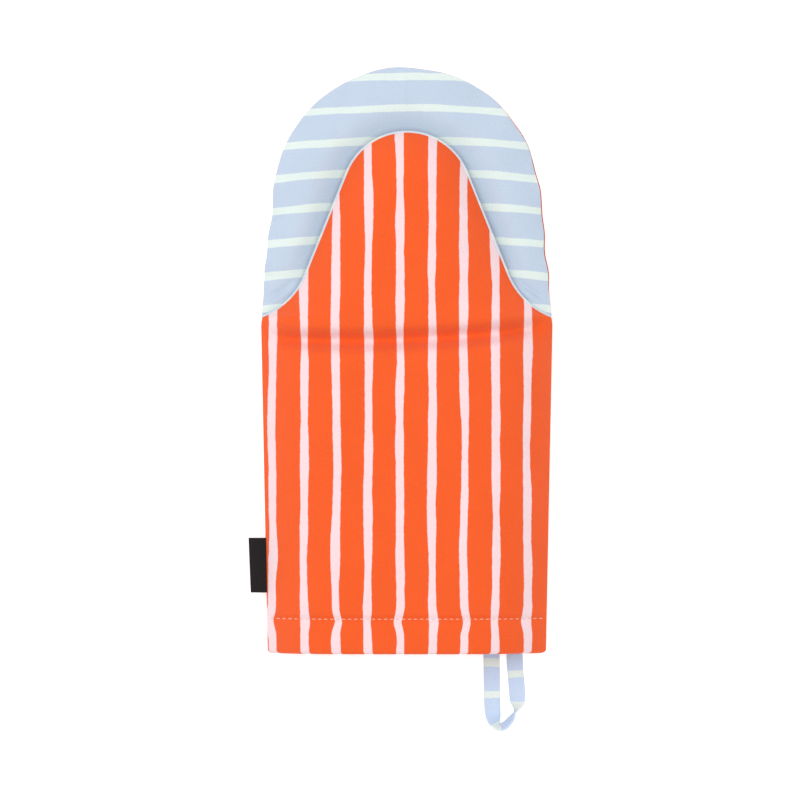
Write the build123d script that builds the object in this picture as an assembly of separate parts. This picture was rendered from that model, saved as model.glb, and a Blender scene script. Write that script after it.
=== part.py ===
from build123d import *

import math
import os

# Jaw-style oven mitt: a padded cloth gauntlet whose thumb pocket opens like a mouth.
# The mitt lies on its back. X runs across the hand, Y from the hem to the fingertips and Z up
# from the table. The back is one padded wall, the front is a cuff wall that carries on, past
# the fold line, as the thumb pocket. A second cloth faces the two palms inside the mouth.
# Every wall is three plies: outer cloth, wadding and lining. Sizes are in millimetres.

# Outline, seen from the front, measured from the middle of the hem
mitt_length = 310.0
hem_half_width = 73.5
cuff_flare = 3.5
mouth_half_width = hem_half_width + cuff_flare
mouth_y = 176.0
mouth_corner_radius = 150.0
finger_taper = 6.5
finger_tip_radius = mouth_half_width - finger_taper
thumb_tip_y = 275.0
thumb_shoulder = 43.0
thumb_tip_radius = mouth_half_width - thumb_shoulder
thumb_flank_angle = 22.0
flare_start_y = 203.0

# Heights above the table, and how the padded walls slope down to their seams
seam_z = 8.0
palm_z = 15.0
front_z = 30.0
back_run = 10.0
palm_run = 22.0
front_slope = 40.0
back_crown_radius = 20.0
palm_crown_radius = 60.0
front_crown_radius = 20.0

# Plies of one wall
cloth = 0.6
wadding = 2.2
lining = 0.5
ply_gap = 0.1
seam_pinch = 1.6

# Clearances at the mouth
jaw_gap = 0.4
fold_gap = 0.6

# Hem: the cloth turns in around the wall's end and is top-stitched
hem_depth = 19.5
hem_stitch_inset = 1.0
stitch_length = 2.2
stitch_pitch = 3.1
stitch_width = 0.5
stitch_height = 0.35
stitch_sink = 0.02
stitch_groove = 0.4
stitch_groove_width = 1.0

# Hanging loop: a sewn tape that comes out of the back of the hem
tape_width = 8.5
tape_thickness = 1.2
loop_gap = 5.6
loop_inset = 22.0
loop_middle_x = hem_half_width - loop_inset
loop_reach = 42.5
loop_shoulder = 30.0
loop_point_half_width = 4.5
loop_z = 1.5
loop_clearance = 0.3
tail_length = 14.0

# Label: a folded woven tab caught in the left side seam
label_out = 9.2
label_length = 29.0
label_low_y = 32.0
label_thickness = 0.9
label_clearance = 0.3

# Room for cutting tools, past the mitt on every side
far = 90.0

cloth_span = (0.0, cloth)
wadding_span = (cloth + ply_gap, cloth + ply_gap + wadding)
lining_span = (wadding_span[1] + ply_gap, wadding_span[1] + ply_gap + lining)
band_span = (lining_span[1] + ply_gap, lining_span[1] + ply_gap + cloth)

back_taper = math.degrees(math.atan2(back_run, seam_z))
palm_taper = math.degrees(math.atan2(palm_run, palm_z - seam_z))
front_taper = 90.0 - front_slope

cuff_end_y = mouth_y - fold_gap / 2
jaw_start_y = mouth_y + fold_gap / 2
stitch_y = hem_depth - hem_stitch_inset


def side_half_width(y):
    """Half width of the mitt between the hem and the mouth corners."""
    return hem_half_width + (mouth_half_width - hem_half_width) * y / mouth_y


def mitt_face(inset):
    """The full outline, hem to fingertips, drawn in by inset and run on below the hem."""
    centre_y = mitt_length - finger_tip_radius
    radius = finger_tip_radius - inset
    corner_x = mouth_half_width - inset
    below_x = side_half_width(-far) - inset
    reach = math.hypot(corner_x, mouth_y - centre_y)
    turn = math.atan2(mouth_y - centre_y, corner_x) + math.acos(radius / reach)
    right = (radius * math.cos(turn), centre_y + radius * math.sin(turn))
    left = (-right[0], right[1])
    tip = ThreePointArc(right, (0, centre_y + radius), left)
    corners = [(-corner_x, mouth_y), (-below_x, -far), (below_x, -far), (corner_x, mouth_y)]
    sides = Polyline(left, *corners, right)
    face = make_face(Wire(tip.edges() + sides.edges()))
    kinks = [v for v in face.vertices() if abs(v.Y - mouth_y) < 1e-6]
    return fillet(kinks, mouth_corner_radius - inset)


def cuff_face(inset):
    """The cuff's straight sides, run on past the hem and the fold line."""
    low, high = -far, mouth_y + far
    low_x, high_x = side_half_width(low) - inset, side_half_width(high) - inset
    corners = [(low_x, low), (high_x, high), (-high_x, high), (-low_x, low)]
    return make_face(Polyline(*corners, close=True))


def thumb_face(inset):
    """The thumb pocket's outline at seam height: round tip, straight flanks, flared base.

    The pocket's edge shows where its slope meets the palm, so its foot spreads further out.
    """
    spread = (palm_z + jaw_gap - seam_z) / math.tan(math.radians(front_slope))
    angle = math.radians(thumb_flank_angle)
    outward = Vector(math.cos(angle), math.sin(angle))
    down = Vector(math.sin(angle), -math.cos(angle))
    tip_centre = Vector(0, thumb_tip_y - thumb_tip_radius)
    foot_radius = thumb_tip_radius + spread
    flank_top = tip_centre + outward * foot_radius
    flank_low = flank_top + down * ((flank_top.Y - flare_start_y) / math.cos(angle))
    corner = Vector(mouth_half_width, mouth_y)
    chord = corner - flank_low
    flare_radius = chord.dot(chord) / (2 * chord.dot(outward))
    flare_centre = flank_low + outward * flare_radius

    towards_corner = (corner - flare_centre).normalized()
    towards_middle = (towards_corner - outward).normalized()
    inner_radius = flare_radius + inset
    a = flank_top - outward * inset
    b = flank_low - outward * inset
    middle = flare_centre + towards_middle * inner_radius
    c = flare_centre + towards_corner * inner_radius
    run_on = c + Vector(-towards_corner.Y, towards_corner.X) * far
    foot = Vector(run_on.X, -far)

    def mirrored(point):
        return Vector(-point.X, point.Y)

    tip_top = tip_centre + Vector(0, foot_radius - inset)
    edges = [
        ThreePointArc(a, tip_top, mirrored(a)),
        Line(mirrored(a), mirrored(b)),
        ThreePointArc(mirrored(b), mirrored(middle), mirrored(c)),
        Polyline(mirrored(c), mirrored(run_on), mirrored(foot), foot, run_on, c),
        ThreePointArc(c, middle, b),
        Line(b, a),
    ]
    return make_face(Wire([e for line in edges for e in line.edges()]))


def y_slab(low, high):
    """Everything between two Y planes."""
    return Pos(0, (low + high) / 2, 0) * Box(6 * far, high - low, 6 * far)


def half_pillow(face, seam_side, outer_z, depth, taper, crown_radius, low_y, high_y):
    """One padded half: the outline rises from its seam, slopes in and rounds over to a flat.

    seam_side is 1 above the seam plane and -1 below it, and depth is how far inside the
    outer face the half lies. The rounding shrinks with the height that is left.
    """
    base_z = seam_z + seam_side * ply_gap / 2
    full_rise = abs(outer_z - base_z)
    rise = full_rise - depth
    top_z = base_z + seam_side * rise
    foot = Pos(0, 0, base_z) * face(depth * seam_pinch)
    solid = extrude(foot, amount=rise, dir=(0, 0, seam_side), taper=taper)
    solid = solid & y_slab(-far / 2, mitt_length + far)
    rim = []
    for edge in solid.edges():
        box = edge.bounding_box()
        flat = abs(box.min.Z - top_z) < 1e-4 and abs(box.max.Z - top_z) < 1e-4
        if flat and box.size.Y > 1e-3:
            rim.append(edge)
    return fillet(rim, crown_radius * rise / full_rise) & y_slab(low_y, high_y)


def back_half(depth, low_y=0.0, high_y=mitt_length + far):
    """The back of the mitt, depth millimetres inside its outer face."""
    return half_pillow(mitt_face, -1, 0.0, depth, back_taper, back_crown_radius, low_y, high_y)


def palm_half(depth, low_y=jaw_start_y, high_y=mitt_length + far):
    """The finger pocket's palm side."""
    return half_pillow(mitt_face, 1, palm_z, depth, palm_taper, palm_crown_radius, low_y, high_y)


def cuff_half(depth, low_y=0.0, high_y=cuff_end_y):
    """The front of the cuff, hem to fold line."""
    return half_pillow(cuff_face, 1, front_z, depth, front_taper, front_crown_radius, low_y, high_y)


def thumb_half(depth, low_y=jaw_start_y, high_y=mitt_length + far):
    """The front of the thumb pocket, fold line to tip."""
    return half_pillow(thumb_face, 1, front_z, depth, front_taper, front_crown_radius, low_y, high_y)


def under_jaw(depth):
    """Everything below the thumb pocket's palm side, depth millimetres into the pocket."""
    lift = jaw_gap + depth
    top = seam_z + ply_gap + lift
    ground = Pos(0, mouth_y + far, top - 3 * far) * Box(6 * far, 6 * far, 6 * far)
    return Pos(0, 0, lift) * palm_half(0, low_y=mouth_y - far) + ground


def ply(half, span, low_y, **limits):
    """The layer between two depths of a half."""
    return half(span[0], low_y=low_y, **limits) - half(span[1], low_y=low_y, **limits)


def hemmed(half):
    """An outer cloth with its hem: it turns round the wall's end and runs up inside.

    The stitching draws a shallow groove into the outer face.
    """
    low, high = stitch_y - stitch_groove_width / 2, stitch_y + stitch_groove_width / 2
    groove = half(0.0, low_y=low, high_y=high) - half(stitch_groove, low_y=low, high_y=high)
    outer = ply(half, cloth_span, 0.0) - groove
    turn = half(0.0, high_y=cloth) - half(band_span[1], high_y=cloth)
    band = half(band_span[0], high_y=hem_depth) - half(band_span[1], high_y=hem_depth)
    return outer + turn + band


def palm_facing():
    """The finger pocket's facing, turned down over the wall's end at the fold line."""
    face = ply(palm_half, cloth_span, jaw_start_y)
    end = jaw_start_y + cloth
    turn = palm_half(0.0, high_y=end) - palm_half(lining_span[1], high_y=end)
    return face + turn


def thumb_front(span):
    """One ply of the thumb pocket's front."""
    return ply(thumb_half, span, jaw_start_y) - under_jaw(span[1] + ply_gap)


def thumb_palm(span):
    """One ply of the thumb pocket's palm side."""
    return (under_jaw(span[1]) - under_jaw(span[0])) & thumb_half(span[0])


def loop_legs():
    """Middle X of the tape's two legs where they leave the hem."""
    half = (loop_gap + tape_width) / 2
    return loop_middle_x - half, loop_middle_x + half


def loop_tails(clearance=0.0):
    """The two sewn-in ends of the tape, inside the back wall."""
    start = -loop_clearance if clearance else 0.0
    length = tail_length - start + clearance
    size = (tape_width + 2 * clearance, length, tape_thickness + 2 * clearance)
    place_z = loop_z + tape_thickness / 2
    return [Pos(x, start + length / 2, place_z) * Box(*size) for x in loop_legs()]


def hanging_loop():
    """The free loop: two flat legs that draw together to a folded point."""
    half = loop_gap / 2 + tape_width
    low = -loop_reach
    outer = make_face(
        Polyline(
            (-half, -loop_clearance),
            (half, -loop_clearance),
            (half, -loop_shoulder),
            (loop_point_half_width, low),
            (-loop_point_half_width, low),
            (-half, -loop_shoulder),
            close=True,
        )
    )
    corners = [v for v in outer.vertices() if v.Y < -2 * loop_clearance]
    outer = fillet(corners, loop_point_half_width)
    slot_top = loop_gap
    slot_low = -loop_shoulder - loop_gap / 2
    slot_length = slot_top - slot_low
    slot = Pos(0, (slot_top + slot_low) / 2) * SlotOverall(slot_length, loop_gap, rotation=90)
    tape = extrude(outer - slot, amount=tape_thickness)
    return Pos(loop_middle_x, 0, loop_z) * tape


def side_label():
    """The folded tab, standing out of the left seam."""
    inner_x = -side_half_width(label_low_y + label_length) - label_clearance
    middle = (inner_x - label_out / 2, label_low_y + label_length / 2, seam_z)
    tab = Pos(*middle) * Box(label_out, label_length, label_thickness)
    fold = tab.edges().filter_by(Axis.Y).group_by(Axis.X)[0]
    return fillet(fold, label_thickness * 0.45)


def hem_stitches():
    """One run of top stitching round the cuff, sunk in the groove of the front and the back."""
    stitches = []
    for half, side in ((cuff_half, 1), (back_half, -1)):
        slice_face = section(half(0.0), section_by=Plane.XZ.offset(-stitch_y))
        seam = seam_z + side * ply_gap / 2
        for edge in slice_face.edges():
            if abs(edge.center().Z - seam) < 1e-3:
                continue
            count = int(edge.length / stitch_pitch)
            for number in range(count):
                share = (number + 0.5) / count
                along = edge.tangent_at(share)
                out = Vector(-along.Z, 0, along.X)
                out = out if out.Z * side > 0 else -out
                middle = edge.position_at(share) - out * (stitch_height / 2 + stitch_sink)
                spot = Plane(middle, x_dir=along, z_dir=out)
                stitches.append(spot * Box(stitch_length, stitch_width, stitch_height))
    return stitches


def centre_on_box():
    """Moves the hem-based frame so that the part's box is centred on X and Y."""
    left = -side_half_width(label_low_y + label_length) - label_clearance - label_out
    right = side_half_width(cuff_end_y)
    return Pos(-(left + right) / 2, -(mitt_length - loop_reach) / 2, 0)


def build():
    """Every sub-part by name, in the hem-based frame."""
    wall_start = cloth + ply_gap
    jaw_wall_start = jaw_start_y + cloth + ply_gap
    pocket = loop_tails(clearance=ply_gap)
    return {
        "back_panel": hemmed(back_half) - pocket,
        "back_wadding": ply(back_half, wadding_span, wall_start) - pocket,
        "back_lining": ply(back_half, lining_span, wall_start),
        "cuff_panel": hemmed(cuff_half),
        "cuff_wadding": ply(cuff_half, wadding_span, wall_start),
        "cuff_lining": ply(cuff_half, lining_span, wall_start),
        "finger_palm_facing": palm_facing(),
        "finger_palm_wadding": ply(palm_half, wadding_span, jaw_wall_start),
        "finger_palm_lining": ply(palm_half, lining_span, jaw_wall_start),
        "thumb_panel": thumb_front(cloth_span),
        "thumb_wadding": thumb_front(wadding_span),
        "thumb_lining": thumb_front(lining_span),
        "thumb_palm_facing": thumb_palm(cloth_span),
        "thumb_palm_wadding": thumb_palm(wadding_span),
        "thumb_palm_lining": thumb_palm(lining_span),
        "hem_stitching": Compound(children=hem_stitches()),
        "hanging_loop": hanging_loop(),
        "loop_tails": Compound(children=loop_tails()),
        "side_label": side_label(),
    }


os.makedirs("parts", exist_ok=True)
place = centre_on_box()
for name, shape in build().items():
    export_step(place * shape, f"parts/{name}.step")
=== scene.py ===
import math

import bmesh
import bpy
import numpy as np
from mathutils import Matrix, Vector


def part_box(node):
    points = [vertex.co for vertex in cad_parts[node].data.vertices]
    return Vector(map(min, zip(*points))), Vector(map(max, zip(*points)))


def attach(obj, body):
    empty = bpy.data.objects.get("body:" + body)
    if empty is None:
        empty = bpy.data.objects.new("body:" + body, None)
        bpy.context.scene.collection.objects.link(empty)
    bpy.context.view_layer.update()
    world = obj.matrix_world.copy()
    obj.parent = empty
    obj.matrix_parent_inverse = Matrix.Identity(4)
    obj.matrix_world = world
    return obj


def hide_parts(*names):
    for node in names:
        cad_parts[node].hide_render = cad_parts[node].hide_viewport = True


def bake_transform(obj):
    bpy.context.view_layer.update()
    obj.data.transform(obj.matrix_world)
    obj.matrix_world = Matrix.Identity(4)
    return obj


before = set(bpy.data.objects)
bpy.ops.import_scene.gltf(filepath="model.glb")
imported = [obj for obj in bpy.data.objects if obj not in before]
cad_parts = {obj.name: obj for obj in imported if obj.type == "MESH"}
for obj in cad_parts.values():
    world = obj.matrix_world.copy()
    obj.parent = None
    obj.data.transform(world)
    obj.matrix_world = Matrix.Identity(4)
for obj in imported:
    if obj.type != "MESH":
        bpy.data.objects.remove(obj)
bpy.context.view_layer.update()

# Every piece is drawn in millimetres from the middle of the hem, on the table
cuffLow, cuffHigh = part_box("cuff_panel")
hemPlace = np.array([(cuffLow.x + cuffHigh.x) / 2, cuffLow.y, 0.0])


def toWorld(points):
    # millimetres from the hem to metres in the CAD frame
    return np.asarray(points, float) / 1000 + hemPlace


def boxMm(node):
    # low and high corner of a CAD node in millimetres from the hem
    low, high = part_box(node)
    return (np.array(low) - hemPlace) * 1000, (np.array(high) - hemPlace) * 1000


backHigh = boxMm("back_panel")[1]
cuffLow, cuffHigh = boxMm("cuff_panel")
fingerLow, fingerHigh = boxMm("finger_palm_facing")
thumbHigh = boxMm("thumb_palm_facing")[1]
stitchLow, stitchHigh = boxMm("hem_stitching")

# Sizes that several pieces share; the margins leave room for the cloth's own waves
mitt = dict(hemFlare=3.5, tipRadius=70.5, tipMargin=0.4, crownMargin=0.6)
mouthY = (cuffHigh[1] + fingerLow[1]) / 2
mouthHalf = cuffHigh[0]
hemHalf = mouthHalf - mitt["hemFlare"]
mittLength = backHigh[1] - mitt["tipMargin"]
tipCentreY = mittLength - mitt["tipRadius"]
seamZ = (backHigh[2] + cuffLow[2]) / 2
palmZ = fingerHigh[2]
frontZ = cuffHigh[2] - mitt["crownMargin"]
stitchY = (stitchLow[1] + stitchHigh[1]) / 2
print("frame read: mouth at", round(mouthY, 1), "mm, length", round(mittLength, 1), "mm")


# Mesh helpers
clothUnit = 100  # mm of flat cloth in one unit of the UV map
sewing = dict(merge=2e-6, sliver=1e-7)  # metres


def meshFrom(name, points, faces, cloth, material):
    # points in mm; cloth is each point's place on the flat cloth in mm, kept as a UV map
    mesh = bpy.data.meshes.new(name)
    mesh.from_pydata(toWorld(points).tolist(), [], faces)
    layer = mesh.uv_layers.new(name="cloth")
    corners = np.zeros(len(mesh.loops), np.int32)
    mesh.loops.foreach_get("vertex_index", corners)
    layer.data.foreach_set("uv", (np.asarray(cloth)[corners] / clothUnit).astype(np.float32).ravel())
    mesh.polygons.foreach_set("use_smooth", np.ones(len(mesh.polygons), bool))
    mesh.materials.append(material)
    piece = bpy.data.objects.new(name, mesh)
    bpy.context.scene.collection.objects.link(piece)
    return piece


def sew(piece, toward=None):
    # merges doubled points; a sheet is turned to face toward, a closed piece faces out
    work = bmesh.new()
    work.from_mesh(piece.data)
    bmesh.ops.remove_doubles(work, verts=work.verts, dist=sewing["merge"])
    bmesh.ops.dissolve_degenerate(work, edges=work.edges, dist=sewing["sliver"])
    work.normal_update()
    if toward is None:
        bmesh.ops.recalc_face_normals(work, faces=work.faces)
    elif sum(face.normal.dot(Vector(toward)) * face.calc_area() for face in work.faces) < 0:
        bmesh.ops.reverse_faces(work, faces=work.faces)
    work.to_mesh(piece.data)
    work.free()
    return piece


def gridFaces(rows, columns):
    # quads of an open grid, row by row
    r, c = np.meshgrid(np.arange(rows - 1), np.arange(columns - 1), indexing="ij")
    a = (r * columns + c).ravel()
    return np.stack([a, a + 1, a + columns + 1, a + columns], 1).tolist()


def tubeFaces(rings, sides):
    # quads round a tube of rings, with a face over each end
    r, k = np.meshgrid(np.arange(rings - 1), np.arange(sides), indexing="ij")
    a, b = (r * sides + k).ravel(), (r * sides + (k + 1) % sides).ravel()
    ring = np.arange(sides)
    ends = [ring[::-1].tolist(), (ring + (rings - 1) * sides).tolist()]
    return np.stack([a, b, b + sides, a + sides], 1).tolist() + ends


def flatten(*parts):
    # coordinate grids to a list of points
    return np.stack([np.broadcast_to(part, parts[0].shape).ravel() for part in parts], 1)


def waves(x, y, size, seed, count=7):
    # soft unevenness: a sum of sines in random directions, each 0.7 to 1.6 times size mm long
    draw = np.random.default_rng(seed)
    total = np.zeros_like(x)
    for _ in range(count):
        angle, phase = draw.uniform(0, 2 * math.pi, 2)
        k = 2 * math.pi / (size * draw.uniform(0.7, 1.6))
        total = total + np.sin(k * (x * math.cos(angle) + y * math.sin(angle)) + phase)
    return total / math.sqrt(count)


def rise(q):
    # padded profile from a seam (0) to the crown (1): 1 - (1 - q)^2.2
    return 1 - (1 - np.clip(q, 0, 1)) ** 2.2


def bump(q):
    # bell curve: exp(-q^2)
    return np.exp(-q * q)


def ramp(value, length):
    # a straight line from 0 to 1 over a length
    return np.clip(value / length, 0, 1)


# Outlines: the right half as points from the lowest one to the tip
thumb = dict(tipRadius=34.0, lean=math.radians(22), flareFrom=200.0, cornerIn=0.6, cornerUp=1.5)


def sideX(y):
    # half width of the cuff: grows evenly from the hem to the mouth
    return hemHalf + mitt["hemFlare"] * y / mouthY


def mittRight(inset, lowY):
    # cuff side, a line that leans in and touches the round tip, and the tip's quarter circle
    r, wide = mitt["tipRadius"] - inset, mouthHalf - inset
    drop = mouthY - tipCentreY
    turn = math.atan2(drop, wide) + math.acos(r / math.hypot(wide, drop))
    cuffY = np.linspace(lowY, mouthY, 40)
    cuff = np.column_stack([sideX(cuffY) - inset, cuffY])
    touch = (r * math.cos(turn), tipCentreY + r * math.sin(turn))
    finger = np.linspace((wide, mouthY), touch, 20)[1:]
    turns = np.linspace(turn, math.pi / 2, 60)[1:]
    tip = np.column_stack([r * np.cos(turns), tipCentreY + r * np.sin(turns)])
    points = np.vstack([cuff, finger, tip] if lowY < mouthY else [finger, tip])
    for _ in range(30):  # eases the bend at the mouth corner
        points[1:-1, 0] = (points[:-2, 0] + 2 * points[1:-1, 0] + points[2:, 0]) / 4
    return points


def thumbRight(inset):
    # an arc that flares to the mouth corner, a straight flank and a round tip, each moved in by inset
    r, lean = thumb["tipRadius"], thumb["lean"]
    centreY = thumbHigh[1] - r
    out, down = np.array([math.cos(lean), math.sin(lean)]), np.array([math.sin(lean), -math.cos(lean)])
    flankTop = np.array([0, centreY]) + r * out
    flankLow = flankTop + down * (flankTop[1] - thumb["flareFrom"]) / math.cos(lean)
    corner = np.array([mouthHalf - thumb["cornerIn"], mouthY + thumb["cornerUp"]])
    chord = corner - flankLow
    flare = chord.dot(chord) / (2 * chord.dot(out))  # radius that leaves the flank and meets the corner
    middle = flankLow + out * flare
    first, last = (math.atan2(*(end - middle)[::-1]) % (2 * math.pi) for end in (corner, flankLow))
    turns = np.linspace(first, last, 40)
    bend = middle + (flare + inset) * np.column_stack([np.cos(turns), np.sin(turns)])
    flank = np.linspace(flankLow, flankTop, 30)[1:] - out * inset
    turns = np.linspace(lean, math.pi / 2, 50)[1:]
    tip = np.array([0, centreY]) + (r - inset) * np.column_stack([np.cos(turns), np.sin(turns)])
    return np.vstack([bend, flank, tip])


thumbCentreY = thumbHigh[1] - thumb["tipRadius"]


def resample(points, gap):
    # points along an outline, spaced by gap(y): equal steps of the running sum of length / gap
    along = np.concatenate([[0], np.cumsum(np.hypot(*np.diff(points, axis=0).T))])
    fine = np.linspace(0, along[-1], 4000)
    steps = np.diff(fine) / gap(np.interp(fine[1:], along, points[:, 1]))
    count = np.concatenate([[0], np.cumsum(steps)])
    at = np.interp(np.linspace(0, count[-1], int(count[-1]) + 2), count, fine)
    return np.column_stack([np.interp(at, along, points[:, i]) for i in (0, 1)])


def fan(right, spineTop, gap, across):
    # rows run from the mirrored outline in to a spine on x = 0; gives x, y and the distance inside
    half = resample(right, gap)
    half[-1, 0] = 0.0
    edge = np.vstack([half, half[-2::-1] * [-1, 1]])
    spine = np.column_stack([np.zeros(len(edge)), np.minimum(edge[:, 1], spineTop)])
    share = np.linspace(0, 1, across) ** 1.4
    grid = edge[:, None] + (spine - edge)[:, None] * share[None, :, None]
    return grid[..., 0], grid[..., 1], np.hypot(*(spine - edge).T)[:, None] * share


def even(gap):
    # the same spacing all along an outline
    return lambda y: gap + 0 * y


rowGaps = dict(hemEnd=26, stitch=0.6, stitchBelow=1, stitchReach=5, hem=1.6, mouth=0.9, mouthBelow=6,
               mouthReach=20, plain=2.2)


def fineAtFolds(y):
    # spacing of the rows in mm, closer at the hem stitching and at the mouth crease
    nearStitch = np.abs(y - stitchY + rowGaps["stitchBelow"]) < rowGaps["stitchReach"]
    nearMouth = np.abs(y - mouthY + rowGaps["mouthBelow"]) < rowGaps["mouthReach"]
    atHem = np.where(nearStitch, rowGaps["stitch"], rowGaps["hem"])
    return np.where(y < rowGaps["hemEnd"], atHem, np.where(nearMouth, rowGaps["mouth"], rowGaps["plain"]))


def mittInside(x, y):
    # distance inside the mitt's edge above the mouth: to the leaning side, or to the round tip
    lean = math.atan2(mouthHalf - mitt["tipRadius"], tipCentreY - mouthY)
    side = (mouthHalf - np.abs(x)) * math.cos(lean) - (y - mouthY) * math.sin(lean)
    return np.maximum(np.where(y > tipCentreY, mitt["tipRadius"] - np.hypot(x, y - tipCentreY), side), 0)


# Heights in mm above the table, where d is the distance inside the edge
mouthRun = 12  # the side seam climbs into the mouth corner over this length
hem = dict(pinch=1.1, pinchWidth=1.5, swell=0.5, fade=6, turn=1.8, turnCloth=4, band=17.0, bandFrom=1.5,
           wall=6.7)
backPad = dict(run=17, softness=0.17, softSize=42, softRun=30, cornerLift=1.6, liftEnd=2, liftDrop=2.5,
               liftWidth=2.0, lowest=0.02)
fingerSeam = dict(middleY=200, meanRadius=70, stray=0.45, straySize=21, strayWidth=9, strayFrom=180,
                  strayRun=15)
fingerPad = dict(run=24, seamGap=0.1, pucker=0.5, puckerSize=11, puckerWidth=7, puckerEdge=1.2,
                 softness=0.25, softSize=36, softRun=20, press=1.8, pressReach=8.0, pressRun=12, hollow=3.4,
                 hollowReach=9.0, hollowRun=14, hollowFrom=8, hollowLength=30)
tipWrinkle = dict(height=0.5, x=-1.5, width=1.5, length=26, lengthRun=12, run=5)
cornerFold = dict(ridge=2.2, ridgeAt=2.4, ridgeWidth=1.6, groove=1.8, grooveAt=5.2, grooveWidth=1.2, up=2,
                  across=(13 / 23, 19 / 23), length=26, fadeIn=5, fadeOut=14, clear=2, clearRun=9)
frontPad = dict(run=40, thumbRun=32, thumbFrom=30, edgeLift=1.6, seamEnd=2.5, softness=0.45, softSize=48,
                softRun=22, bulge=0.7, bulgeBelow=13, bulgeWidth=9, bulgeRun=14)
crease = dict(y=165.6, tilt=0.04, bow=5.0, bowCurve=2.5, depth=7.6, width=4.6, clear=3, run=18)


def hemShape(y, d):
    # the stitch line draws the cloth in, and the turned hem swells below it
    pinch = hem["pinch"] * bump((y - stitchY) / hem["pinchWidth"])
    swell = hem["swell"] * np.sin(np.clip(y / stitchY, 0, 1) * math.pi)
    return (swell - pinch) * rise(d / hem["fade"])


def backHeight(x, y, d):
    # falls from the seam to the table; the side seam lifts into the mouth corner
    soft = np.maximum(waves(x, y, backPad["softSize"], seed=11), 0) * rise(d / backPad["softRun"])
    lift = ramp(y - mouthY + mouthRun, mouthRun) * np.exp(-d / backPad["liftWidth"])
    lift = lift * ramp(mouthY + backPad["liftEnd"] - y, backPad["liftDrop"])
    z = seamZ * (1 - rise(d / backPad["run"])) + backPad["softness"] * soft
    return np.maximum(z + backPad["cornerLift"] * lift - hemShape(y, d), backPad["lowest"])


def seamTurn(x, y):
    # distance round the finger pocket's seam: the angle about its middle times a mean radius
    return np.arctan2(y - fingerSeam["middleY"], x) * fingerSeam["meanRadius"]


def seamEdge(x, y, d):
    # the finger seam strays in and out by under a millimetre, less and less further inside
    turn = seamTurn(x, y)
    stray = fingerSeam["stray"] * waves(turn, 0 * turn, fingerSeam["straySize"], seed=8, count=6)
    stray = stray * bump(d / fingerSeam["strayWidth"])
    stray = stray * ramp(y - fingerSeam["strayFrom"], fingerSeam["strayRun"])
    upY = y - fingerSeam["middleY"]
    away = np.hypot(x, upY) + 1e-6
    return x + stray * x / away, y + stray * upY / away


thumbEdge = resample(thumbRight(0.0), even(2.5))


def thumbEdgeGap(x, y):
    # distance to the nearest point of the thumb pocket's edge
    squares = (np.abs(x)[..., None] - thumbEdge[:, 0]) ** 2 + (y[..., None] - thumbEdge[:, 1]) ** 2
    return np.sqrt(squares.min(axis=-1))


def foldHeight(x, y, d):
    # a ridge and a groove run in from each mouth corner: away is the distance across them, along the one
    # from the corner
    inX, upY = np.abs(x) - mouthHalf, y - mouthY - cornerFold["up"]
    acrossX, acrossY = cornerFold["across"]
    away, along = inX * acrossX + upY * acrossY, upY * acrossX - inX * acrossY
    ridge = cornerFold["ridge"] * bump((away - cornerFold["ridgeAt"]) / cornerFold["ridgeWidth"])
    groove = cornerFold["groove"] * bump((away - cornerFold["grooveAt"]) / cornerFold["grooveWidth"])
    shown = ramp(along, cornerFold["fadeIn"]) * ramp(cornerFold["length"] - along, cornerFold["fadeOut"])
    return (ridge - groove) * shown * ramp(d - cornerFold["clear"], cornerFold["clearRun"])


def palmHeight(x, y, d):
    # padded dome with gathers along the seam, pressed down along the thumb pocket's edge, with a wrinkle
    # at the tip and a fold at each mouth corner
    turn = seamTurn(x, y)
    gathers = waves(turn, 0 * turn + 5, fingerPad["puckerSize"], seed=5, count=5)
    gathers = gathers * bump(d / fingerPad["puckerWidth"]) * (1 - np.exp(-d / fingerPad["puckerEdge"]))
    z = seamZ + fingerPad["seamGap"] + (palmZ - seamZ) * rise(d / fingerPad["run"])
    z = z + fingerPad["pucker"] * gathers
    soft = waves(x, y, fingerPad["softSize"], seed=21) * rise(d / fingerPad["softRun"])
    pressed = bump(thumbEdgeGap(x, y) / fingerPad["pressReach"]) * rise(d / fingerPad["pressRun"])
    wrinkle = bump((x - tipWrinkle["x"]) / tipWrinkle["width"]) * rise(d / tipWrinkle["run"])
    wrinkle = wrinkle * ramp(y - mittLength + tipWrinkle["length"], tipWrinkle["lengthRun"])
    z = z + fingerPad["softness"] * soft
    return z - fingerPad["press"] * pressed + tipWrinkle["height"] * wrinkle + foldHeight(x, y, d)


def facingHeight(x, y, d):
    # the finger palm's face is a little hollow along the thumb pocket's edge, away from the mouth
    dip = fingerPad["hollow"] * bump(thumbEdgeGap(x, y) / fingerPad["hollowReach"])
    dip = dip * rise((y - mouthY - fingerPad["hollowFrom"]) / fingerPad["hollowLength"])
    return palmHeight(x, y, d) - dip * rise(d / fingerPad["hollowRun"])


def frontEdgeZ(x, y):
    # height of the front panel's own edge: the side seam, then up on to the finger palm past the mouth
    palm = palmHeight(x, y, mittInside(x, y)) + frontPad["edgeLift"]
    return seamZ + (palm - seamZ) * ramp(y - mouthY + mouthRun, mouthRun)


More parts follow.
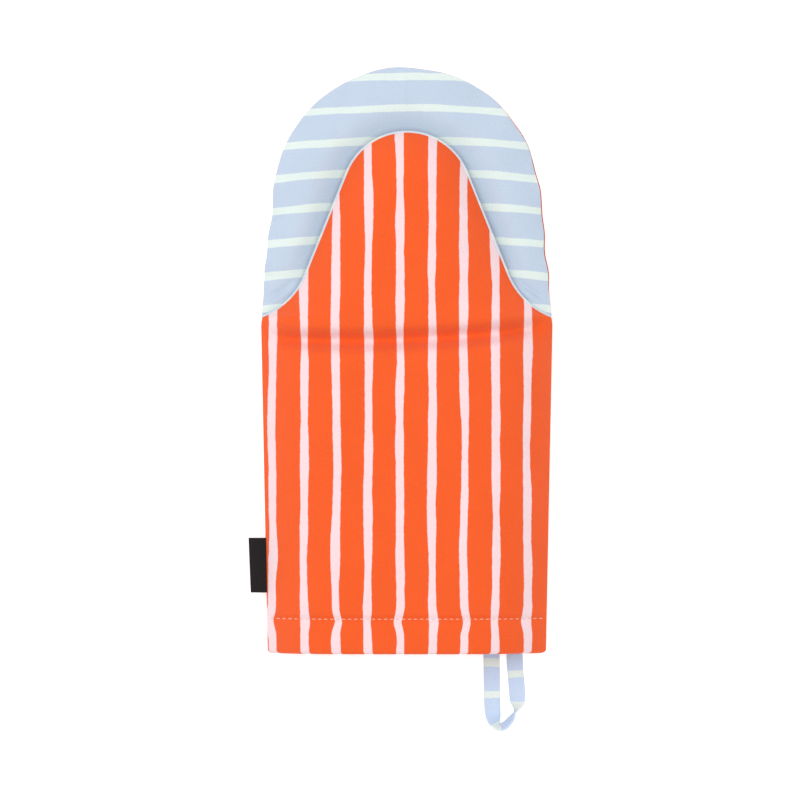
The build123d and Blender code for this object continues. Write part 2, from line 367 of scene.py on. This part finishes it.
def frontHeight(x, y, d, edgeZ):
    # padded rise from the edge, with the crease across the mouth and a low bulge below it
    onThumb = ramp(y - mouthY, frontPad["thumbFrom"])
    run = frontPad["run"] + (frontPad["thumbRun"] - frontPad["run"]) * onThumb
    z = edgeZ + (frontZ - edgeZ) * rise(d / run)
    soft = waves(x, y, frontPad["softSize"], seed=31) * rise(d / frontPad["softRun"])
    z = z + frontPad["softness"] * soft
    bowed = crease["bow"] * (np.abs(x) / mouthHalf) ** crease["bowCurve"]
    above = y - (crease["y"] + crease["tilt"] * x + bowed)
    z = z - crease["depth"] * bump(above / crease["width"]) * rise((d - crease["clear"]) / crease["run"])
    bulge = bump((above + frontPad["bulgeBelow"]) / frontPad["bulgeWidth"]) * rise(d / frontPad["bulgeRun"])
    return z + frontPad["bulge"] * bulge + hemShape(y, d)


# Materials
def colour(code):
    # sRGB hex to linear
    raw = [int(code[i : i + 2], 16) / 255 for i in (1, 3, 5)]
    return [c / 12.92 if c <= 0.04045 else ((c + 0.055) / 1.055) ** 2.4 for c in raw] + [1.0]


def addNode(tree, kind, inputs=None, **settings):
    # one node with its settings; an input is a value or the socket to link
    node = tree.nodes.new(kind)
    for key, value in settings.items():
        setattr(node, key, value)
    for key, value in (inputs or {}).items():
        if isinstance(value, bpy.types.NodeSocket):
            tree.links.new(value, node.inputs[key])
        else:
            node.inputs[key].default_value = value
    return node


brush = dict(lane=37.7, wanderScale=0.014, swellScale=0.034, roughScale=0.25)


def stripes(tree, place, across, along, look):
    # hand-painted stripes: each has its own wander, width and rough edge; 1 inside a stripe, 0 outside
    sums, noise = "ShaderNodeMath", "ShaderNodeTexNoise"
    step = addNode(tree, sums, {0: across, 1: look["start"]}, operation="SUBTRACT").outputs[0]
    step = addNode(tree, sums, {0: step, 1: look["pitch"]}, operation="DIVIDE").outputs[0]
    number = addNode(tree, sums, {0: step}, operation="ROUND").outputs[0]
    lane = addNode(tree, sums, {0: number, 1: brush["lane"]}, operation="MULTIPLY").outputs[0]
    lane = addNode(tree, "ShaderNodeCombineXYZ", {0: lane, 1: along}).outputs[0]
    off = addNode(tree, sums, {0: step, 1: number}, operation="SUBTRACT").outputs[0]
    off = addNode(tree, sums, {0: off, 1: look["pitch"]}, operation="MULTIPLY").outputs[0]
    drift = {"Vector": lane, "Scale": brush["wanderScale"], "Detail": 2.0}
    widths = {"Vector": lane, "Scale": brush["swellScale"], "Detail": 1.0}
    frays = {"Vector": place, "Scale": brush["roughScale"], "Detail": 3.0}
    wander, swell, rough = (addNode(tree, noise, inputs).outputs[0] for inputs in (drift, widths, frays))
    half = look["half"] - (look["swell"] + look["rough"]) / 2  # the noises lie about a half
    for part, amount in ((swell, look["swell"]), (rough, look["rough"])):
        half = addNode(tree, sums, {0: part, 1: amount, 2: half}, operation="MULTIPLY_ADD").outputs[0]
    wander = addNode(tree, sums, {0: wander, 1: 0.5}, operation="SUBTRACT").outputs[0]
    off = addNode(tree, sums, {0: wander, 1: look["wander"], 2: off}, operation="MULTIPLY_ADD").outputs[0]
    off = addNode(tree, sums, {0: off}, operation="ABSOLUTE").outputs[0]
    inside = addNode(tree, sums, {0: half, 1: off}, operation="SUBTRACT").outputs[0]
    sharp = {0: inside, 1: 1 / look["edge"], 2: 0.5}
    return addNode(tree, sums, sharp, operation="MULTIPLY_ADD", use_clamp=True).outputs[0]


# Yarn that all the cloths share: noise scales per mm, how much each part shades and lifts, relief in metres
yarn = dict(slub=0.16, slubScale=0.9, slubHeight=1.3, patch=0.10, patchScale=0.05, weave=0.03,
            weaveHeight=0.5, relief=0.0002, gloss=0.18, fuzz=0.12, fuzzRoughness=0.5)


def clothMaterial(name, look):
    # plain-woven cloth: threads both ways, slubs in the yarn and slow patches, dull with a little fuzz
    material = bpy.data.materials.new(name)
    material.use_nodes = True
    tree = material.node_tree
    shader = tree.nodes["Principled BSDF"]
    sums, noise = "ShaderNodeMath", "ShaderNodeTexNoise"
    place = addNode(tree, "ShaderNodeUVMap", uv_map="cloth").outputs[0]
    toMm = {0: place, 1: (clothUnit, clothUnit, clothUnit)}
    place = addNode(tree, "ShaderNodeVectorMath", toMm, operation="MULTIPLY").outputs[0]
    x, y = addNode(tree, "ShaderNodeSeparateXYZ", {0: place}).outputs[:2]

    weave = 1.0
    for way in (x, y):  # one sine across each set of threads, multiplied
        angle = {0: way, 1: 2 * math.pi / look["thread"]}
        turn = addNode(tree, sums, angle, operation="MULTIPLY").outputs[0]
        wave = addNode(tree, sums, {0: turn}, operation="SINE").outputs[0]
        weave = addNode(tree, sums, {0: wave, 1: weave}, operation="MULTIPLY").outputs[0]
    slub = addNode(tree, noise, {"Vector": place, "Scale": yarn["slubScale"], "Detail": 4.0}).outputs[0]
    patch = addNode(tree, noise, {"Vector": place, "Scale": yarn["patchScale"], "Detail": 3.0}).outputs[0]
    shade = 1.0 - (yarn["slub"] + yarn["patch"]) / 2  # the two noises lie about a half
    for part, amount in ((slub, yarn["slub"]), (patch, yarn["patch"]), (weave, yarn["weave"])):
        shade = addNode(tree, sums, {0: part, 1: amount, 2: shade}, operation="MULTIPLY_ADD").outputs[0]

    ground = colour(look["ground"])
    if "stripe" in look:
        across, along = (x, y) if look["run"] == "length" else (y, x)
        paint = {0: stripes(tree, place, across, along, look), 6: ground, 7: colour(look["stripe"])}
        dye = addNode(tree, "ShaderNodeMix", paint, data_type="RGBA").outputs[2]
    else:
        dye = ground[:3]
    tone = addNode(tree, "ShaderNodeVectorMath", {0: dye, 3: shade}, operation="SCALE").outputs[0]
    tree.links.new(tone, shader.inputs["Base Color"])
    threads = addNode(tree, sums, {0: weave, 1: yarn["weaveHeight"]}, operation="MULTIPLY").outputs[0]
    slubs = {0: slub, 1: yarn["slubHeight"], 2: threads}
    height = addNode(tree, sums, slubs, operation="MULTIPLY_ADD").outputs[0]
    relief = {"Height": height, "Strength": look["bump"], "Distance": yarn["relief"]}
    tree.links.new(addNode(tree, "ShaderNodeBump", relief).outputs[0], shader.inputs["Normal"])
    shader.inputs["Roughness"].default_value = look["roughness"]
    shader.inputs["Specular IOR Level"].default_value = yarn["gloss"]
    shader.inputs["Sheen Weight"].default_value = yarn["fuzz"]
    shader.inputs["Sheen Roughness"].default_value = yarn["fuzzRoughness"]
    return material


# Thread spacing is in mm, drawn about twice as coarse as real cotton so that it shows
plainLook = dict(ground="#e9e5dc", thread=0.62, bump=0.45, roughness=0.92)
orangeLook = dict(plainLook, ground="#e45722", stripe="#e7ccd0", run="length", start=-3.6, pitch=16.8,
                  half=2.15, wander=3.8, swell=2.0, rough=0.7, edge=0.45, bump=0.5)
blueLook = dict(plainLook, ground="#b5c3d4", stripe="#d3deda", run="width", start=185.8, pitch=17.0,
                half=2.0, wander=2.6, swell=1.3, rough=0.55, edge=0.45, bump=0.5)
# painted highlight: the blue cloth's colours made lighter for the rolled edge
edgeHighlightLook = dict(blueLook, ground="#c3cdd8", stripe="#cdd6d6")
# painted light: the tape's colours lifted to make up for the mitt's shade on the loop
paintedLightTapeLook = dict(blueLook, ground="#bfd0e8", stripe="#dbe6e2")
threadLook = dict(plainLook, ground="#dcbfae", bump=0.7)
labelLook = dict(plainLook, ground="#140f10", bump=0.9, roughness=0.6)
# printed cotton: bright, matt, with uneven stripes
orangeCotton = clothMaterial("orangeStripedCotton", orangeLook)
# printed cotton: pale, matt, with thin cross stripes
blueCotton = clothMaterial("blueStripedCotton", blueLook)
# the same cloth rolled tight, with a painted highlight: its colours are made lighter for the light the roll
# catches
edgeHighlightCotton = clothMaterial("blueCottonEdgePaintedHighlight", edgeHighlightLook)
# the same cloth pressed flat as a tape, painted a shade lighter to offset the shade the mitt casts on the
# loop
paintedLightTapeCotton = clothMaterial("blueCottonTapePaintedLight", paintedLightTapeLook)
# unbleached cotton: warm white and dull
liningCotton = clothMaterial("plainLiningCotton", plainLook)
# twisted sewing thread, dull and a little warm
threadCotton = clothMaterial("offWhiteThread", threadLook)
# woven polyester: near black with a faint gloss
labelSatin = clothMaterial("blackSatinWeave", labelLook)
print("materials", len(bpy.data.materials))

# Back panel
x, y, d = fan(mittRight(0.0, hem["turn"]), tipCentreY, fineAtFolds, across=56)
z = backHeight(x, y, d)
x, y = seamEdge(x, y, d)
points = flatten(x, y, z)
backPanel = sew(meshFrom("backPanel", points, gridFaces(*x.shape), points[:, :2], orangeCotton), (0, 0, -1))
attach(backPanel, "mitt")
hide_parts("back_panel", "back_wadding")
print("back panel", len(backPanel.data.polygons))

# Finger pocket facing: starts under the front panel at the mouth corner and rolls in a little on the right
fingerRoll = dict(right=-0.007, left=0.004, low=2, lowRun=20, tip=10, tipRun=25)
clothArch = 0.0007  # the cross stripes arch over the padding: up by this times x squared
# first points of the facing's edge, from the mouth corner
fingerStart = dict(points=((-4, -1.4), (-2.2, 0.4), (-0.5, 2.6)), end=4, rowGap=0.9)
right = mittRight(0.0, mouthY)
corner = np.array(fingerStart["points"]) + [mouthHalf, mouthY]
right = np.vstack([corner, right[right[:, 1] > mouthY + fingerStart["end"]]])
x, y, d = fan(right, tipCentreY, even(fingerStart["rowGap"]), across=84)
z = facingHeight(x, y, d)
x, y = seamEdge(x, y, d)
rolled = ramp(y - mouthY - fingerRoll["low"], fingerRoll["lowRun"])
rolled = rolled * ramp(mittLength - fingerRoll["tip"] - y, fingerRoll["tipRun"])
x = x * (1 + rolled * np.where(x > 0, fingerRoll["right"], fingerRoll["left"]))
cloth = flatten(x, y + clothArch * x * x)
fingerFacing = meshFrom("fingerFacing", flatten(x, y, z), gridFaces(*x.shape), cloth, blueCotton)
sew(fingerFacing, (0, 0, 1))
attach(fingerFacing, "mitt")
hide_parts("finger_palm_facing", "finger_palm_wadding")
print("finger facing", len(fingerFacing.data.polygons))

# Front panel: cuff and thumb pocket in one cloth; the stitching pulls its stripes aside
drawIn = dict(amount=0.9, size=46, centreY=17.0, reach=4.5)
cuffY = np.linspace(hem["turn"], mouthY - frontPad["seamEnd"], 60)
frontRight = np.vstack([np.column_stack([sideX(cuffY), cuffY]), thumbRight(0.0)])
x, y, d = fan(frontRight, thumbCentreY, fineAtFolds, across=72)
z = frontHeight(x, y, d, frontEdgeZ(x[:, :1], y[:, :1]))
pulled = waves(x, 0 * x, drawIn["size"], seed=3, count=4) * bump((y - drawIn["centreY"]) / drawIn["reach"])
cloth = flatten(x + drawIn["amount"] * pulled, y)
frontPanel = meshFrom("frontPanel", flatten(x, y, z), gridFaces(*x.shape), cloth, orangeCotton)
sew(frontPanel, (0, 0, 1))
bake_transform(frontPanel)
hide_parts("cuff_panel", "cuff_wadding", "thumb_panel", "thumb_wadding")
print("front panel", len(frontPanel.data.polygons))

# Thumb pocket facing: lies on the finger palm under the front panel
thumbBed = dict(inset=0.3, lift=0.55, rootIn=1.2, rootBelow=0.1, rowGap=1.2)
root = (mouthHalf - thumbBed["rootIn"], mouthY - thumbBed["rootBelow"])
right = np.vstack([root, thumbRight(thumbBed["inset"])])
x, y, _ = fan(right, thumbCentreY, even(thumbBed["rowGap"]), across=56)
z = palmHeight(x, y, mittInside(x, y)) + thumbBed["lift"]
cloth = flatten(x, y + clothArch * x * x)
thumbFacing = meshFrom("thumbFacing", flatten(x, y, z), gridFaces(*x.shape), cloth, blueCotton)
sew(thumbFacing, (0, 0, -1))
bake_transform(thumbFacing)
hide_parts("thumb_palm_facing", "thumb_palm_wadding")
print("thumb facing", len(thumbFacing.data.polygons))

# Rolled edge: the facing turns up round the thumb pocket's edge and shows as a thin light line, partly from
# its round shape and partly from a painted highlight in its colour
roll = dict(outset=0.1, across=0.8, up=0.95, lift=1.05, sides=12)
half = resample(thumbRight(-roll["outset"]), even(1.0))
line = np.vstack([half, half[-2::-1] * [-1, 1]])
ahead = np.gradient(line, axis=0)
outward = np.column_stack([ahead[:, 1], -ahead[:, 0]]) / np.hypot(*ahead.T)[:, None]
level = palmHeight(*line.T, mittInside(*line.T)) + roll["lift"]
turns = np.linspace(0, 2 * math.pi, roll["sides"], endpoint=False)
flat = line[:, None] + outward[:, None] * (roll["across"] * np.cos(turns))[None, :, None]
points = flatten(flat[..., 0], flat[..., 1], level[:, None] + roll["up"] * np.sin(turns))
faces = tubeFaces(len(line), roll["sides"])
rolledEdge = sew(meshFrom("rolledEdge", points, faces, points[:, :2], edgeHighlightCotton))
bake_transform(rolledEdge)
print("rolled edge", len(rolledEdge.data.polygons))

# Mouth web: the fold of blue cloth at the back of the mouth, closed flat at rest
web = dict(inset=0.4, depth=1.4, past=1.15, lift=0.05, rise=0.5, cloth=20.0)
webHalf = mouthHalf - web["inset"]
x, share = np.meshgrid(np.linspace(-webHalf, webHalf, 90), np.linspace(0, 1, 14))
z = palmHeight(x, 0 * x + mouthY, mouthHalf - np.abs(x)) + web["lift"] + web["rise"] * share
points = flatten(x, mouthY - web["depth"] * (1 - share), z)
cloth = flatten(x, mouthY - web["cloth"] * share)
mouthWeb = sew(meshFrom("mouthWeb", points, gridFaces(*x.shape), cloth, blueCotton), (0, 0.3, -1))
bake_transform(mouthWeb)
print("mouth web", len(mouthWeb.data.polygons))


# Hem: the cloth turns half round the wall's end and runs up inside as a band
def hemRim(name, outerZ, innerZ):
    # u runs across from -1 to 1; a half circle joins the outer face to the inner one, then a straight band
    u = np.linspace(-1, 1, 121)
    outX, inX = u * hemHalf, u * (hemHalf - hem["wall"])
    outZ, inZ = outerZ(outX, hemHalf - np.abs(outX)), innerZ(hemHalf - hem["wall"] - np.abs(inX))
    turns = np.linspace(0, math.pi, 11)[:, None]
    share = (1 + np.cos(turns)) / 2
    band = np.linspace(hem["bandFrom"], hem["bandFrom"] + hem["band"], 10)[:, None]
    x = np.vstack([outX * share + inX * (1 - share), inX + 0 * band])
    y = np.vstack([hem["turn"] * (1 - np.sin(turns)) + 0 * u, hem["turn"] + band + 0 * u])
    z = np.vstack([outZ * share + inZ * (1 - share), inZ + 0 * band])
    turned = hem["turn"] - hem["turnCloth"] * turns / math.pi
    inner = hem["turn"] - hem["turnCloth"] - band
    cloth = flatten(outX + 0 * y, np.vstack([turned + 0 * u, inner + 0 * u]))
    piece = meshFrom(name, flatten(x, y, z), gridFaces(*x.shape), cloth, orangeCotton)
    sew(piece, (0, -1, 0))
    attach(piece, "mitt")
    return piece


wallGap = dict(seam=0.4, front=16.4, back=3.6, backRun=14)
frontHem = hemRim("frontHem", lambda x, d: frontHeight(x, 0 * x + hem["turn"], d, seamZ),
                  lambda d: seamZ + wallGap["seam"] + wallGap["front"] * rise(d / frontPad["run"]))
backHem = hemRim("backHem", lambda x, d: backHeight(x, 0 * x + hem["turn"], d),
                 lambda d: seamZ - wallGap["seam"] - wallGap["back"] * rise(d / wallGap["backRun"]))
print("hem rims", len(frontHem.data.polygons), len(backHem.data.polygons))

# Lining: inside the back, the finger palm, the front and the thumb's palm
linings = dict(inset=6.0, lowY=16.0, backSeam=0.5, backDrop=4.1, backRun=14, palmSeam=0.1, palmRise=3.6,
               palmRun=20, palmGap=2.2, palmGapRun=12, edgeGap=2.6, crownGap=2.0, crownRun=10,
               thumbInset=5.0, thumbLift=2.0, thumbRun=12, thumbX=64, thumbY=1, waistTop=22, waistX=53,
               waistY=10, waist=((61, -12), (56, -6), (55, 6)), rowGap=4.0, thumbGap=2.0, fineGap=1.6,
               fineBelow=4, fineReach=22)


def fineAtMouth(y):
    # spacing of the front lining's rows, closer where it bends
    nearMouth = np.abs(y - mouthY + linings["fineBelow"]) < linings["fineReach"]
    return np.where(nearMouth, linings["fineGap"], linings["rowGap"])


def liningPiece(name, x, y, z, up):
    # one open sheet of lining that faces the hand
    points = flatten(x, y, z)
    piece = sew(meshFrom(name, points, gridFaces(*x.shape), points[:, :2], liningCotton), (0, 0, up))
    return piece


x, y, d = fan(mittRight(linings["inset"], linings["lowY"]), tipCentreY, even(linings["rowGap"]), across=26)
z = seamZ - linings["backSeam"] - linings["backDrop"] * rise(d / linings["backRun"])
liningBack = liningPiece("liningBack", x, y, z, 1)
x, y, d = fan(mittRight(linings["inset"], mouthY), tipCentreY, even(linings["rowGap"]), across=26)
underPalm = facingHeight(x, y, d) - linings["palmGap"] * rise(d / linings["palmGapRun"])
z = np.minimum(seamZ + linings["palmSeam"] + linings["palmRise"] * rise(d / linings["palmRun"]), underPalm)
liningPalm = liningPiece("liningPalm", x, y, z, -1)

# the front's lining stays clear of the mouth corners, where the web folds
cuffY = np.linspace(linings["lowY"], mouthY - linings["waistTop"], 40)
tongue = thumbRight(linings["thumbInset"])
waist = np.array(linings["waist"]) + [0, mouthY]
inner = tongue[(tongue[:, 0] < linings["waistX"]) & (tongue[:, 1] > mouthY + linings["waistY"])]
right = np.vstack([np.column_stack([sideX(cuffY) - linings["inset"], cuffY]), waist, inner])
x, y, d = fan(right, thumbCentreY, fineAtMouth, across=30)
edgeX = np.interp(y, frontRight[:, 1], frontRight[:, 0])
inside = np.where(y < thumbCentreY, edgeX - np.abs(x), d + linings["thumbInset"])
gap = linings["edgeGap"] + linings["crownGap"] * rise(d / linings["crownRun"])
z = frontHeight(x, y, inside, frontEdgeZ(edgeX, y)) - gap
liningFront = liningPiece("liningFront", x, y, z, -1)
inner = tongue[(tongue[:, 0] < linings["thumbX"]) & (tongue[:, 1] > mouthY + linings["thumbY"])]
x, y, d = fan(inner, thumbCentreY, even(linings["thumbGap"]), across=30)
z = palmHeight(x, y, mittInside(x, y)) + linings["thumbLift"]
z = z + linings["crownGap"] * rise(d / linings["thumbRun"])
liningThumb = liningPiece("liningThumb", x, y, z, 1)
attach(liningBack, "mitt")
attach(liningPalm, "mitt")
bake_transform(liningFront)
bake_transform(liningThumb)
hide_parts("back_lining")
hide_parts("finger_palm_lining")
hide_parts("cuff_lining", "thumb_lining")
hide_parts("thumb_palm_lining")
print("linings placed")

# Hem stitching: short bowed threads, thin at both ends, sunk in the stitch line
thread = dict(pitch=3.15, length=2.2, reach=71.0, thick=0.19, flat=1.25, bow=0.24, sink=0.1, lowest=0.3,
              rings=7, sides=8)


def threadRow(height, up):
    # a tube along each chord of the hem: radius thick * sin^0.5, lifted off the cloth by bow * sin
    middle = np.arange(-thread["reach"], thread["reach"] + 0.2, thread["pitch"])
    share = np.linspace(0, 1, thread["rings"])
    bowed = np.sin(share * math.pi)
    x = middle[:, None] + thread["length"] * (share - 0.5)
    ends = height(x, sideX(stitchY) - np.abs(x))[:, [0, -1]]
    z = ends[:, :1] * (1 - share) + ends[:, 1:] * share
    slope = (ends[:, 1] - ends[:, 0]) / thread["length"]
    upX, upZ = -slope / np.hypot(slope, 1) * up, up / np.hypot(slope, 1)
    turns = np.linspace(0, 2 * math.pi, thread["sides"], endpoint=False)
    radius = thread["thick"] * np.sqrt(np.abs(bowed))[:, None]
    lift = (thread["bow"] * bowed - thread["sink"])[:, None] + radius * np.sin(turns)
    y = stitchY + thread["flat"] * radius * np.cos(turns) + 0 * middle[:, None, None]
    return x[..., None] + upX[:, None, None] * lift, y, z[..., None] + upZ[:, None, None] * lift


frontThreads = threadRow(lambda x, d: frontHeight(x, 0 * x + stitchY, d, seamZ), 1)
backThreads = threadRow(lambda x, d: np.maximum(backHeight(x, 0 * x + stitchY, d), thread["lowest"]), -1)
x, y, z = (np.concatenate(pair) for pair in zip(frontThreads, backThreads))
first = np.arange(len(x))[:, None, None] * thread["rings"] * thread["sides"]
quads = np.array(tubeFaces(thread["rings"], thread["sides"])[:-2])
faces = (first + quads).reshape(-1, 4).tolist()
points = flatten(x, y, z)
hemStitches = sew(meshFrom("hemStitches", points, faces, points[:, :2], threadCotton))
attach(hemStitches, "mitt")
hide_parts("hem_stitching")
print("stitches", len(x))

# Hanging loop: a folded tape that leaves the hem flat, then twists on edge round its end
# route: x from the loop's middle, y from the hem, height, and twist in degrees
tape = dict(width=8.5, thick=1.3, wideCurve=0.35, deepCurve=0.6, sides=20, rings=110, ease=13, clothX=300,
            clothStart=24.7, edgeFrom=4, route=[
    (-6.7, 3.0, 2.1, 0), (-6.6, -8.0, 2.1, 0), (-6.5, -20.0, 2.2, 1), (-6.2, -31.0, 2.4, 4),
    (-5.3, -36.6, 3.2, 44), (-2.9, -39.7, 4.3, 66), (0.7, -38.4, 4.7, 66), (3.9, -34.6, 4.9, 70),
    (6.2, -30.4, 5.0, 95), (7.1, -26.0, 3.5, 160), (6.7, -18.0, 2.3, 178), (5.8, -8.0, 2.1, 180),
    (5.4, 3.0, 2.1, 180)])
loopLow, loopHigh = boxMm("hanging_loop")
route = np.array(tape["route"]) + [(loopLow[0] + loopHigh[0]) / 2, 0, 0, 0]
stops = np.linspace(0, len(route) - 1, tape["rings"])
track = np.column_stack([np.interp(stops, np.arange(len(route)), column) for column in route.T])
for _ in range(tape["ease"]):  # rounds the corners of the route
    track[1:-1] = (track[:-2] + 2 * track[1:-1] + track[2:]) / 4
ahead = np.gradient(track[:, :3], axis=0)
ahead /= np.linalg.norm(ahead, axis=1)[:, None]
along = np.concatenate([[0], np.cumsum(np.linalg.norm(np.diff(track[:, :3], axis=0), axis=1))])
across = np.cross(ahead, [0, 0, 1.0])
across /= np.linalg.norm(across, axis=1)[:, None]
twist = np.radians(np.where(track[:, 3] <= 90, track[:, 3], 180 - track[:, 3]))[:, None]
across = across * np.cos(twist) + np.array([0, 0, 1.0]) * np.sin(twist)
facing = np.cross(across, ahead)
turns = np.linspace(0, 2 * math.pi, tape["sides"], endpoint=False)
# flat section with rounded sides: a circle whose cosine and sine are raised to a power under 1
wide = np.sign(np.cos(turns)) * np.abs(np.cos(turns)) ** tape["wideCurve"] * tape["width"] / 2
deep = np.sign(np.sin(turns)) * np.abs(np.sin(turns)) ** tape["deepCurve"] * tape["thick"] / 2
points = track[:, None, :3] + across[:, None] * wide[None, :, None] + facing[:, None] * deep[None, :, None]
edgeTurn = np.where(np.abs(wide) > tape["edgeFrom"], deep, 0)
cloth = flatten(wide + tape["clothX"] + 0 * along[:, None], along[:, None] + tape["clothStart"] + edgeTurn)
faces = tubeFaces(tape["rings"], tape["sides"])
hangingLoop = sew(meshFrom("hangingLoop", points.reshape(-1, 3), faces, cloth, paintedLightTapeCotton))
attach(hangingLoop, "loop")
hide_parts("hanging_loop", "loop_tails")
print("loop", len(hangingLoop.data.polygons))

# Side label: a bare folded tab in the left seam that sags and bows a little
tab = dict(rootIn=1.4, reach=9.6, fold=0.45, sag=0.8, bow=0.5, slant=1.1, clothX=500, clothBack=12)
labelLow, labelHigh = boxMm("side_label")
rootX, middleZ = labelHigh[0] + tab["rootIn"], (labelLow[2] + labelHigh[2]) / 2
leaf = np.linspace(0, 1, 14)
turns = np.linspace(0, math.pi, 8)[1:-1]
outline = np.concatenate([leaf, 1 + tab["fold"] / tab["reach"] * np.sin(turns), leaf[::-1]])
side = np.concatenate([0 * leaf + 1, np.cos(turns), 0 * leaf - 1])
v = np.linspace(0, 1, 24)[:, None]
x = rootX - tab["reach"] * outline + tab["slant"] * outline * (1 - v)
y = labelLow[1] + (labelHigh[1] - labelLow[1]) * v + 0 * outline
z = middleZ + tab["fold"] * side - tab["sag"] * np.minimum(outline, 1) ** 2
z = z + tab["bow"] * np.sin(v * math.pi) * outline
cloth = flatten(x + tab["clothX"] + tab["clothBack"] * (side < 0), y)
ring = np.arange(len(outline))
ends = [ring[::-1].tolist(), (ring + (len(v) - 1) * len(outline)).tolist()]
sideLabel = sew(meshFrom("sideLabel", flatten(x, y, z), gridFaces(*x.shape) + ends, cloth, labelSatin))
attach(sideLabel, "label")
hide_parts("side_label")
print("label", len(sideLabel.data.polygons))

# Floor, lights and camera: straight down on a white sweep of paper that is lit evenly to its far edge
studio = dict(floorHalf=40.0, paper="#fbfbfb", paperGlow=0.3, paperRoughness=0.9, sky=0.66,
              cameraHeight=4.0, lens=340, sensor=36)
# each lamp's place, size and power
lamps = dict(keyLight=((-0.8, 0.8, 1.3), 1.3, 9), topLight=((0.15, -0.1, 1.9), 1.6, 20))
corners = np.array([(-1, -1, 0), (1, -1, 0), (1, 1, 0), (-1, 1, 0)]) * studio["floorHalf"]
floorMesh = bpy.data.meshes.new("floor")
floorMesh.from_pydata(corners.tolist(), [], [(0, 1, 2, 3)])
floor = bpy.data.objects.new("floor", floorMesh)
paper = bpy.data.materials.new("whitePaper")
paper.use_nodes = True
paperShader = paper.node_tree.nodes["Principled BSDF"]
paperShader.inputs["Base Color"].default_value = colour(studio["paper"])
paperShader.inputs["Roughness"].default_value = studio["paperRoughness"]
paperShader.inputs["Emission Color"].default_value = (1, 1, 1, 1)
paperShader.inputs["Emission Strength"].default_value = studio["paperGlow"]
floorMesh.materials.append(paper)
bpy.context.scene.collection.objects.link(floor)

world = bpy.data.worlds.new("studio")
world.use_nodes = True
world.node_tree.nodes["Background"].inputs[0].default_value = (1, 1, 1, 1)
world.node_tree.nodes["Background"].inputs[1].default_value = studio["sky"]
bpy.context.scene.world = world
for name, (place, size, power) in lamps.items():
    data = bpy.data.lights.new(name, "AREA")
    data.size, data.energy = size, power
    lamp = bpy.data.objects.new(name, data)
    lamp.location = place
    lamp.rotation_euler = (-Vector(place)).to_track_quat("-Z", "Y").to_euler()
    bpy.context.scene.collection.objects.link(lamp)

cameraData = bpy.data.cameras.new("camera")
cameraData.lens, cameraData.sensor_width = studio["lens"], studio["sensor"]
camera = bpy.data.objects.new("camera", cameraData)
camera.location = (0, 0, studio["cameraHeight"])
bpy.context.scene.collection.objects.link(camera)
bpy.context.scene.camera = camera
bpy.context.scene.view_settings.view_transform = "Standard"
print("studio set")
